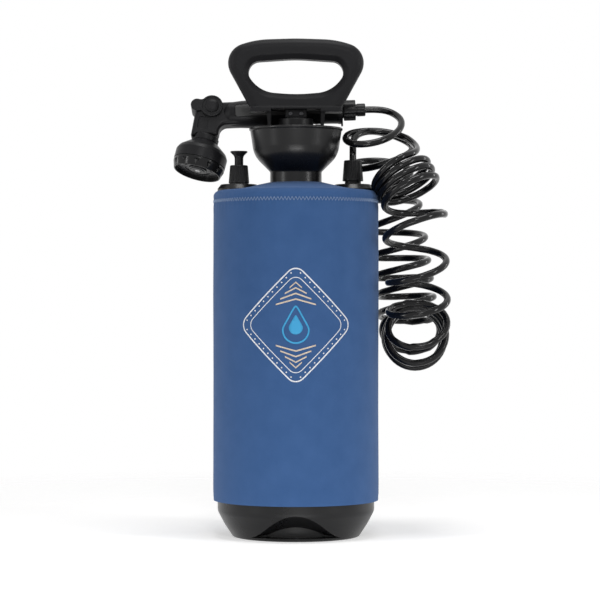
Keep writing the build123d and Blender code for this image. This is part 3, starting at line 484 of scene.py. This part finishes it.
def cloth_swell(angle, height):
    """Small outward or inward shift of the cloth at an angle from the front and a height."""
    spot = Vector((math.sin(angle) * swells_round, math.cos(angle) * swells_round, height * swells_up))
    slow = noise.noise(spot) * slow_depth
    fine = noise.noise(spot * finer) * fine_depth
    from_seam = abs(height - seam_height)
    drawn = -drawn_depth * bell(from_seam, drawn_width)
    wave = math.sin(angle * stitch_count / 2)
    pucker = pucker_depth * wave * bell(from_seam - pucker_width, pucker_width)
    hem = -hem_depth * bell(height - sleeve_bottom, hem_width)
    return slow + fine + drawn + pucker + hem


# %% Spin, swell and thicken the sleeve
def build_sleeve():
    """Neoprene sleeve as a spun wall and shoulder panel, with the map that its knit follows."""
    bm = bmesh.new()
    corners = [
        (sleeve_radius, sleeve_bottom), (sleeve_radius, 0.372), (sleeve_radius, shoulder_edge),
        (0.0672, 0.3981), (0.0535, 0.4008), (neck_opening, 0.4059),
    ]
    line = [bm.verts.new((radius, 0, height)) for radius, height in corners]
    for first, second in zip(line, line[1:]):
        bm.edges.new((first, second))
    shoulder = line[2]
    bmesh.ops.bevel(
        bm, geom=[shoulder], offset=0.0065, offset_type="OFFSET", segments=6, profile=0.5,
        affect="VERTICES", material=-1,
    )

    def cut_long_edges(longest, cuts, low=0.0, high=1.0):
        """Cuts the edges that are longer than longest and have their middle between two heights."""
        edges = [
            edge for edge in bm.edges
            if edge.calc_length() > longest and low < sum(vert.co.z for vert in edge.verts) / 2 < high
        ]
        bmesh.ops.subdivide_edges(bm, edges=edges, cuts=cuts)

    cut_long_edges(0.1, 90)
    cut_long_edges(0.004, 15, low=0.37, high=0.389)
    cut_long_edges(0.006, 4)
    bmesh.ops.spin(
        bm, geom=bm.verts[:] + bm.edges[:], cent=(0, 0, 0), axis=(0, 0, 1), angle=2 * math.pi,
        steps=2 * stitch_count, use_merge=True,
    )
    panel_start = shoulder_edge - 0.004
    ripple = 0.0003
    for vert in bm.verts:
        outward = Vector((vert.co.x, vert.co.y, 0)).normalized()
        angle = math.atan2(vert.co.x, -vert.co.y)
        if vert.co.z < panel_start:
            vert.co += outward * cloth_swell(angle, vert.co.z)
        else:
            vert.co.z += noise.noise(vert.co * 40.0) * ripple
    layer = bm.loops.layers.uv.new("cloth")
    for face in bm.faces:
        centre = face.calc_center_median()
        on_top = centre.z > shoulder_edge - 0.001
        middle = math.atan2(centre.x, -centre.y)
        for loop in face.loops:
            spot = loop.vert.co
            if on_top:
                loop[layer].uv = (spot.x, spot.y)
            else:
                angle = math.atan2(spot.x, -spot.y)
                angle += 2 * math.pi * round((middle - angle) / (2 * math.pi))
                loop[layer].uv = (angle * sleeve_radius, spot.z)
    return piece_from(bm, "neoprene_sleeve", blue_neoprene)


def fitting_hole(x):
    """Cutter for the hole round one fitting's platform."""
    bm = bmesh.new()
    bmesh.ops.create_cone(
        bm, cap_ends=True, segments=96, radius1=platform_radius, radius2=platform_radius, depth=0.06
    )
    bmesh.ops.translate(bm, verts=bm.verts[:], vec=(x, 0, 0.4166))
    return bm


def finish_sleeve(sleeve):
    """Gives the sleeve its thickness, its two holes and a soft cut edge."""
    wall = sleeve.modifiers.new("wall", "SOLIDIFY")
    wall.thickness = sleeve_thickness
    wall.offset = -1
    wall.use_even_offset = True
    settle(sleeve)
    for x in (-fitting_x, fitting_x):
        cutter = piece_from(fitting_hole(x), "fitting_hole", blue_neoprene)
        hole = sleeve.modifiers.new("hole", "BOOLEAN")
        hole.operation = "DIFFERENCE"
        hole.solver = "EXACT"
        hole.object = cutter
        settle(sleeve)
        bpy.data.objects.remove(cutter)
    edge = sleeve.modifiers.new("cut_edge", "BEVEL")
    edge.width = 0.0009
    edge.segments = 2
    edge.limit_method = "ANGLE"
    edge.angle_limit = math.radians(50)
    settle(sleeve)


sleeve = build_sleeve()
finish_sleeve(sleeve)
print("sleeve faces", len(sleeve.data.polygons))


# %% [markdown]
# ## The sewn seam
# The shoulder panel is joined to the wall by a flat zigzag seam. Each stitch is a run of thread that dips
# into the cloth at both ends. One closed curve that goes round the sleeve, up and down with every stitch,
# and in and out by a fraction of a millimetre, gives the whole seam. It becomes a mesh, so that it needs no
# curve settings later.

# %% Thread finish and the zigzag seam
thread_pale = moulded(
    "thread_pale", (0.20, 0.28, 0.43), (0.14, 0.21, 0.35), 0.6,
    grain=2600.0, depth=0.1, edge=0.0001,
)


def fill_spline(spline, points):
    """Puts points on a new spline, which starts with one."""
    spline.points.add(len(points) - 1)
    for target, point in zip(spline.points, points):
        target.co = (*point, 1)


def tube_along(points, radius, name, material, sides, closed=False):
    """Mesh tube along points, made through a bevelled curve."""
    curve = bpy.data.curves.new(name, "CURVE")
    curve.dimensions = "3D"
    curve.bevel_depth = radius
    curve.bevel_resolution = sides
    curve.use_fill_caps = not closed
    spline = curve.splines.new("POLY")
    fill_spline(spline, points)
    spline.use_cyclic_u = closed
    holder = bpy.data.objects.new(name, curve)
    bpy.context.scene.collection.objects.link(holder)
    bpy.context.view_layer.update()
    graph = bpy.context.evaluated_depsgraph_get()
    mesh = bpy.data.meshes.new_from_object(holder.evaluated_get(graph))
    bpy.data.objects.remove(holder)
    bpy.data.curves.remove(curve)
    return object_of(mesh, name, material)


def cloth_point(angle, height, proud):
    """Point on the cloth's outside, a little proud of it."""
    radius = sleeve_radius + cloth_swell(angle, height) + proud
    return (radius * math.sin(angle), -radius * math.cos(angle), height)


def build_seam():
    """Zigzag thread round the sleeve."""
    points = []
    thread_radius = 0.00036
    stitch_reach = 0.8 * seam_half
    lift, dip = 0.00045, 0.0007
    parts = 8
    for step in range(stitch_count * parts):
        phase = step / parts
        angle = 2 * math.pi * phase / stitch_count
        swing = abs((phase % 1) * 2 - 1) * 2 - 1
        proud = lift - dip * abs(swing) ** 4
        points.append(cloth_point(angle, seam_height + swing * stitch_reach, proud))
    return tube_along(points, thread_radius, "seam_thread", thread_pale, sides=1, closed=True)


seam_thread = build_seam()
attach(sleeve, "tank_unit")
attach(seam_thread, "tank_unit")
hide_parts("insulating_sleeve")


# %% [markdown]
# ## The print
# A print on cloth has no thickness to speak of, but it follows every swell. Each motif is drawn flat in
# bmesh, cut along a fine grid so that it can bend, and laid round the sleeve by turning its sideways
# distance into an angle. The design is a generic badge: a rounded diamond of two lines with dots between
# them, a water drop, and chevrons.

# %% Print colours
print_white = moulded(
    "print_white", (0.72, 0.73, 0.76), (0.66, 0.67, 0.71), 0.62,
    grain=1500.0, depth=0.05, edge=0.0001,
)
print_sand = moulded(
    "print_sand", (0.6, 0.5, 0.4), (0.54, 0.45, 0.36), 0.62,
    grain=1500.0, depth=0.05, edge=0.0001,
)
print_cyan = moulded(
    "print_cyan", (0.022, 0.27, 0.52), (0.03, 0.3, 0.56), 0.6,
    grain=1500.0, depth=0.05, edge=0.0001,
)
badge_height = 0.2432
print_lift = 0.00018
print_thickness = 0.00012
grid_step = 0.004
grid_reach = 20


# %% Draw the motifs flat
def keep_rim(bm, line):
    """Leaves only a line along the rim of a drawing's one face."""
    face = max(bm.faces, key=lambda one: one.calc_area())
    bmesh.ops.inset_region(
        bm, faces=[face], thickness=line, depth=0, use_boundary=True, use_even_offset=True
    )
    bmesh.ops.delete(bm, geom=[face], context="FACES_ONLY")


def diamond_line(bm, reach, line, rounding):
    """Rounded diamond drawn as one line."""
    made = bmesh.ops.create_circle(bm, cap_ends=True, cap_tris=False, segments=4, radius=reach)
    bmesh.ops.bevel(
        bm, geom=made["verts"], offset=rounding, offset_type="OFFSET", segments=7, profile=0.5,
        affect="VERTICES", material=-1,
    )
    keep_rim(bm, line)


def dot(bm, x, z, radius):
    """Small round dot."""
    made = bmesh.ops.create_circle(bm, cap_ends=True, cap_tris=False, segments=16, radius=radius)
    bmesh.ops.translate(bm, verts=made["verts"], vec=(x, z, 0))


def chevron(bm, z, reach, drop, line):
    """Wide chevron that points away from the badge's middle."""
    sign = 1 if z > 0 else -1
    inner = z - sign * line
    outline = [
        (-reach, z), (0, z + sign * drop), (reach, z),
        (reach, inner), (0, inner + sign * drop), (-reach, inner),
    ]
    corners = [bm.verts.new((x, y, 0)) for x, y in outline]
    bm.faces.new(corners)


def water_drop(bm, radius, line=None):
    """Water drop, a circle whose upper half is drawn to a point: filled, or a line where one is given."""
    made = bmesh.ops.create_circle(bm, cap_ends=True, cap_tris=False, segments=64, radius=radius)
    for vert in made["verts"]:
        if vert.co.y > 0:
            share = vert.co.y / radius
            vert.co.x *= 1 - 0.42 * share * share
            vert.co.y = radius * (share * 0.9 + share**3 * 0.85)
    bmesh.ops.translate(bm, verts=made["verts"], vec=(0, -radius * 0.35, 0))
    if line:
        keep_rim(bm, line)


# %% Lay the motifs on the cloth
def lay_print(bm, name, material):
    """Cuts a flat drawing along a grid, wraps it round the sleeve and gives it a skin's thickness."""
    bmesh.ops.recalc_face_normals(bm, faces=bm.faces[:])
    for face in bm.faces:
        if face.normal.z < 0:
            face.normal_flip()
    for step in range(-grid_reach, grid_reach + 1):
        for normal in ((1, 0, 0), (0, 1, 0)):
            place = Vector(normal) * step * grid_step
            geometry = bm.verts[:] + bm.edges[:] + bm.faces[:]
            bmesh.ops.bisect_plane(bm, geom=geometry, dist=1e-7, plane_co=place, plane_no=normal)
    bmesh.ops.triangulate(bm, faces=bm.faces[:])
    for vert in bm.verts:
        height = badge_height + vert.co.y
        vert.co = Vector(cloth_point(vert.co.x / sleeve_radius, height, print_lift))
    piece = object_of(mesh_of(bm, name), name, material)
    skin = piece.modifiers.new("skin", "SOLIDIFY")
    skin.thickness = print_thickness
    skin.offset = 0
    settle(piece)
    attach(piece, "tank_unit")


dots_per_side = 12
dot_reach = 0.0630
outer_line = bmesh.new()
diamond_line(outer_line, reach=0.0685, line=0.00145, rounding=0.012)
inner_line = bmesh.new()
diamond_line(inner_line, reach=0.0575, line=0.0009, rounding=0.010)
for step in range(1, dots_per_side):
    share = step / dots_per_side
    for side in (-1, 1):
        for upper in (-1, 1):
            dot(inner_line, side * dot_reach * share, upper * dot_reach * (1 - share), radius=0.00085)
lay_print(outer_line, "badge_outer_line", print_white)
lay_print(inner_line, "badge_inner_line", print_white)

chevrons = bmesh.new()
for step in range(4):
    height = 0.0235 + 0.0062 * step
    reach = 0.0225 - 0.0052 * step
    for sign in (-1, 1):
        chevron(chevrons, sign * height, reach, drop=0.0062, line=0.0017)
lay_print(chevrons, "badge_chevrons", print_sand)

drop_line = bmesh.new()
water_drop(drop_line, radius=0.0155, line=0.0019)
drop_heart = bmesh.new()
water_drop(drop_heart, radius=0.0078)
lay_print(drop_line, "badge_drop_line", print_cyan)
lay_print(drop_heart, "badge_drop_heart", print_cyan)
print("badge pieces laid")


# %% [markdown]
# ## The curly hose
# The hose leaves the gland on the tank, winds into a coil that hangs beside the tank and turns back up, and
# ends in the handset. Three routes hold that: the two plain leads and the line that the coil winds round.
# Each is a NURBS curve, which is smooth however few points it has. The coil itself is worked out round its
# own line: at each step the winding turns a little further about the direction of the line, at the coil's
# radius. A table of turns along the line sets how far apart the loops hang.

# %% The three routes
gland_lead = [
    (0.0655, 0, 0.429), (0.0655, 0, 0.443), (0.066, 0.012, 0.459), (0.08, 0.032, 0.4675),
    (0.099, 0.05, 0.468), (0.119, 0.061, 0.463), (0.134, 0.055, 0.455), (0.137, 0.038, 0.446),
    (0.127, 0.022, 0.438), (0.108, 0.017, 0.43), (0.086, 0.026, 0.424), (0.068, 0.044, 0.4235),
    (0.06, 0.064, 0.429), (0.068, 0.083, 0.434), (0.088, 0.092, 0.437), (0.11, 0.092, 0.436),
    (0.13, 0.084, 0.43), (0.137, 0.066, 0.421), (0.127, 0.049, 0.411), (0.106, 0.046, 0.403),
    (0.087, 0.058, 0.397), (0.0782, 0.0841, 0.3894),
]
coil_line = [
    (0.117, -0.012, 0.42), (0.137, -0.026, 0.388), (0.134, -0.034, 0.352), (0.139, -0.029, 0.3),
    (0.14, -0.008, 0.226), (0.137, 0.086, 0.225), (0.125, 0.088, 0.305), (0.119, 0.086, 0.35),
    (0.11, 0.082, 0.397),
]
handset_lead = [
    (0.0812, 0.044, 0.4934), (0.097, 0.044, 0.494), (0.113, 0.041, 0.49), (0.124, 0.024, 0.479),
    (0.119, 0.002, 0.465), (0.102, -0.016, 0.454), (0.082, -0.022, 0.4485), (0.064, -0.016, 0.449),
    (0.0555, 0.002, 0.456), (0.061, 0.022, 0.464), (0.078, 0.036, 0.468), (0.1, 0.038, 0.468),
    (0.121, 0.032, 0.463), (0.14, 0.012, 0.452), (0.1451, -0.012, 0.4383),
]
hose_radius = 0.004
coil_radius = 0.0335
hose_step = 0.005
winding_step = 0.00012
turns_smoothing = 70
joint_span = 9
joint_rounds = 60


def route_points(points):
    """Points read from the NURBS curve of a route."""
    curve = bpy.data.curves.new("route", "CURVE")
    curve.dimensions = "3D"
    curve.resolution_u = 24
    spline = curve.splines.new("NURBS")
    fill_spline(spline, points)
    spline.order_u = 3
    spline.use_endpoint_u = True
    holder = bpy.data.objects.new("route", curve)
    bpy.context.scene.collection.objects.link(holder)
    mesh = bpy.data.meshes.new_from_object(holder)
    line = [vert.co.copy() for vert in mesh.vertices]
    bpy.data.objects.remove(holder)
    bpy.data.curves.remove(curve)
    bpy.data.meshes.remove(mesh)
    return line


def spaced(points, step):
    """The same line with points at even distances."""
    total = sum((b - a).length for a, b in zip(points, points[1:]))
    count = max(round(total / step), 2)
    result = [points[0].copy()]
    gone = 0.0
    for a, b in zip(points, points[1:]):
        length = (b - a).length
        while len(result) < count and gone + length >= total * len(result) / count:
            result.append(a.lerp(b, (total * len(result) / count - gone) / length))
        gone += length
    result.append(points[-1].copy())
    return result


# %% Wind the coil round its line
turns_at = [
    (0, 0), (0.066, 3.3), (0.126, 4), (0.257, 5), (0.354, 6), (0.417, 7), (0.465, 8), (0.512, 9),
    (0.56, 10), (0.612, 11), (0.66, 12), (0.712, 13), (0.762, 14), (0.81, 15), (0.87, 16), (0.958, 17),
    (1, 17.5),
]


def turns_along(share):
    """Turns wound at a share of the coil's line."""
    for (low, start), (high, stop) in zip(turns_at, turns_at[1:]):
        if share <= high:
            return start + (stop - start) * (share - low) / (high - low)
    return turns_at[-1][1]


def wind(line, first_point, last_point):
    """Points of the winding round a line, from beside first_point to beside last_point."""
    line = spaced(line, winding_step)
    ahead = (line[1] - line[0]).normalized()
    arm = first_point - line[0]
    arm = (arm - ahead * arm.dot(ahead)).normalized()
    arms = []
    for i, spot in enumerate(line):
        now = (line[min(i + 1, len(line) - 1)] - line[max(i - 1, 0)]).normalized()
        arm = ahead.rotation_difference(now) @ arm
        arm = (arm - now * arm.dot(now)).normalized()
        ahead = now
        arms.append((spot, now, arm.copy()))
    spot, now, arm = arms[-1]
    reach = last_point - spot
    reach = (reach - now * reach.dot(now)).normalized()
    angle = math.atan2(now.dot(arm.cross(reach)), arm.dot(reach)) / (2 * math.pi)
    whole = round(turns_at[-1][1] - angle) + angle
    stretch = whole / turns_at[-1][1]
    marked = [turns_along(i / (len(arms) - 1)) * stretch for i in range(len(arms))]
    points = []
    for i, (spot, now, arm) in enumerate(arms):
        near = min(turns_smoothing, i, len(arms) - 1 - i)
        turn = sum(marked[i - near : i + near + 1]) / (2 * near + 1)
        points.append(spot + Matrix.Rotation(2 * math.pi * turn, 3, now) @ arm * coil_radius)
    print("turns", round(whole, 2))
    return points


def ease(points, index):
    """Smooths a line near one of its joints, most at the joint itself."""
    for _ in range(joint_rounds):
        moved = {}
        for i in range(max(index - joint_span, 1), min(index + joint_span, len(points) - 1)):
            pull = 0.5 * (1 - abs(i - index) / joint_span)
            moved[i] = points[i].lerp((points[i - 1] + points[i + 1]) / 2, pull)
        for i, point in moved.items():
            points[i] = point


gland_run = route_points(gland_lead)
handset_run = route_points(handset_lead)
winding = wind(route_points(coil_line), handset_run[-1], gland_run[-1])
gland_part = spaced(gland_run, hose_step)
coil_part = spaced(winding[::-1], hose_step)
handset_part = spaced(handset_run[::-1], hose_step)
hose_points = gland_part + coil_part[1:] + handset_part[1:]
first_joint = len(gland_part) - 1
second_joint = first_joint + len(coil_part) - 1
ease(hose_points, first_joint)
ease(hose_points, second_joint)
hose_length = sum((b - a).length for a, b in zip(hose_points, hose_points[1:]))
hose = tube_along(hose_points, hose_radius, "curly_hose", gloss_hose, sides=5)
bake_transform(hose)
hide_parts("hose_coil", "hose_lead_handset", "hose_lead_outlet")
print("hose length", round(hose_length, 3), "faces", len(hose.data.polygons))


# %% [markdown]
# ## Studio
# The object stands on white, and only a soft shadow tells that there is a floor. The floor is a disc that
# fades out round its edge into a white world, so no horizon shows. The world is white only where the camera
# and reflections look at it, and gives a gentler light to the object. Narrow soft boxes at the sides draw
# the upright highlights on the black plastic, and one in front lifts the sleeve. A photographer's table is
# often lit from below through its milky top, so one lamp stands under the floor and the floor casts no
# shadow: it lights the sleeve most at its foot.

# %% World and floor
def build_world():
    """White to the camera and in reflections, soft grey as a light."""
    world = bpy.data.worlds.new("studio_white")
    bpy.context.scene.world = world
    world.use_nodes = True
    tree = world.node_tree
    seen = tree.nodes["Background"]
    seen.inputs["Color"].default_value = (1, 1, 1, 1)
    seen.inputs["Strength"].default_value = 1.0
    light = tree.nodes.new("ShaderNodeBackground")
    light.inputs["Color"].default_value = (1, 1, 1, 1)
    light.inputs["Strength"].default_value = 0.22
    path = tree.nodes.new("ShaderNodeLightPath")
    shown = tree.nodes.new("ShaderNodeMath")
    shown.operation = "MAXIMUM"
    shown_too = tree.nodes.new("ShaderNodeMath")
    shown_too.operation = "MAXIMUM"
    mix = tree.nodes.new("ShaderNodeMixShader")
    link = tree.links.new
    link(path.outputs["Is Camera Ray"], shown.inputs[0])
    link(path.outputs["Is Glossy Ray"], shown.inputs[1])
    link(shown.outputs[0], shown_too.inputs[0])
    link(path.outputs["Is Transmission Ray"], shown_too.inputs[1])
    link(shown_too.outputs[0], mix.inputs["Fac"])
    link(light.outputs[0], mix.inputs[1])
    link(seen.outputs[0], mix.inputs[2])
    link(mix.outputs[0], tree.nodes["World Output"].inputs["Surface"])


def build_floor():
    """Round floor that takes the shadow near the object and fades into the white world."""
    bm = bmesh.new()
    bmesh.ops.create_circle(bm, cap_ends=True, segments=96, radius=1.1)
    material = bpy.data.materials.new("studio_floor")
    material.use_nodes = True
    tree = material.node_tree
    shader = tree.nodes["Principled BSDF"]
    shader.inputs["Base Color"].default_value = (0.84, 0.835, 0.83, 1)
    shader.inputs["Roughness"].default_value = 0.9
    shader.inputs["Specular IOR Level"].default_value = 0.0
    shader.inputs["Emission Color"].default_value = (1, 1, 1, 1)
    shader.inputs["Emission Strength"].default_value = 0.45
    place = tree.nodes.new("ShaderNodeTexCoord")
    fade = tree.nodes.new("ShaderNodeTexGradient")
    fade.gradient_type = "SPHERICAL"
    ramp = tree.nodes.new("ShaderNodeMapRange")
    ramp.inputs["From Max"].default_value = 0.6
    link = tree.links.new
    link(place.outputs["Object"], fade.inputs["Vector"])
    link(fade.outputs["Fac"], ramp.inputs["Value"])
    link(ramp.outputs["Result"], shader.inputs["Alpha"])
    floor = piece_from(bm, "studio_floor", material, smooth=False)
    floor.visible_shadow = False


build_world()
build_floor()


# %% Soft boxes and camera
def soft_box(name, place, target, size, power):
    """Rectangular lamp that looks at a point."""
    lamp = bpy.data.lights.new(name, "AREA")
    lamp.shape = "RECTANGLE"
    lamp.size, lamp.size_y = size
    lamp.energy = power
    holder = bpy.data.objects.new(name, lamp)
    holder.location = place
    holder.rotation_euler = (Vector(target) - Vector(place)).to_track_quat("-Z", "Y").to_euler()
    bpy.context.scene.collection.objects.link(holder)


middle = (0, 0, 0.27)
foot = (0, 0, 0.2)
shoulders = (0, 0, 0.35)
soft_box("left_box", (-1.75, -1.05, 0.75), middle, (0.22, 1.2), 8)
soft_box("right_box", (1.70, -1.10, 0.75), middle, (0.25, 1.2), 10)
soft_box("front_box", (0.1, -2.2, 1.5), middle, (0.4, 0.4), 10)
soft_box("top_box", (0.1, -0.3, 2.2), middle, (0.8, 0.8), 16)
soft_box("table_box", (0.05, -2.0, -0.75), foot, (1.1, 0.35), 17)
soft_box("left_rim", (-1.9, 0.8, 0.6), shoulders, (0.14, 1.2), 3)
soft_box("right_rim", (1.9, 0.75, 0.6), shoulders, (0.14, 1.2), 4)

lens = bpy.data.cameras.new("catalogue_camera")
lens.sensor_width = 36.0
lens.lens = 135.65
lens.clip_end = 50.0
camera = bpy.data.objects.new("catalogue_camera", lens)
camera.location = (0.0047, -2.6, 0.2709)
camera.rotation_euler = (math.radians(90), 0, 0)
bpy.context.scene.collection.objects.link(camera)
bpy.context.scene.camera = camera
bpy.context.scene.view_settings.view_transform = "Standard"
